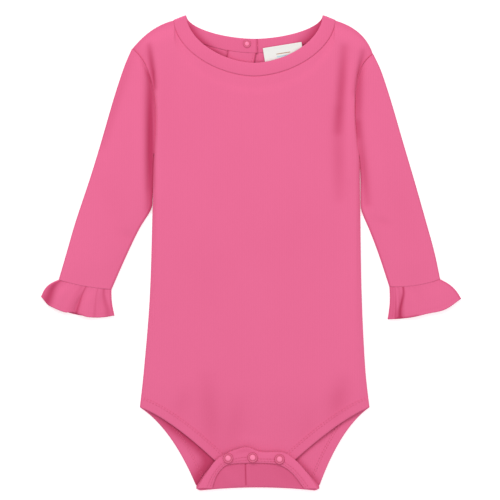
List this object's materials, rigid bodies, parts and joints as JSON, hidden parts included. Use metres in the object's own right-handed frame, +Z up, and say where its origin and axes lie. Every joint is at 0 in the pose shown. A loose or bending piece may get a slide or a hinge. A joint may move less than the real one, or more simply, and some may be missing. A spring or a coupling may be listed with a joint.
{
  "type": "baby onesie",
  "caption": "Long-sleeved pink knit baby bodysuit laid flat, with ruffled cuffs, round neckband and a snapped crotch flap folded up over the front.",
  "frame": {"origin": "middle of the garment's box, on the surface it lies on", "axes": "+Y from the crotch to the neck, +X across to the garment's right as seen from above, +Z up from the surface"},
  "size_m": [0.3864, 0.4384, 0.0077],
  "materials": {
    "knit": "fine matt cotton knit with a soft sheen",
    "label": "woven satin label",
    "snap": "enamelled, satin gloss"
  },
  "bodies": {
    "root": {"front_panel": "knit", "back_panel": "knit", "sleeve_left": "knit", "sleeve_right": "knit", "cuff_ruffle_left": "knit", "cuff_ruffle_right": "knit", "neckband": "knit", "flap_band": "knit", "back_placket": "knit", "neck_label": "label", "crotch_snap_left": "snap", "crotch_snap_middle": "snap", "crotch_snap_right": "snap", "neck_snap": "snap"}
  },
  "joints": []
}
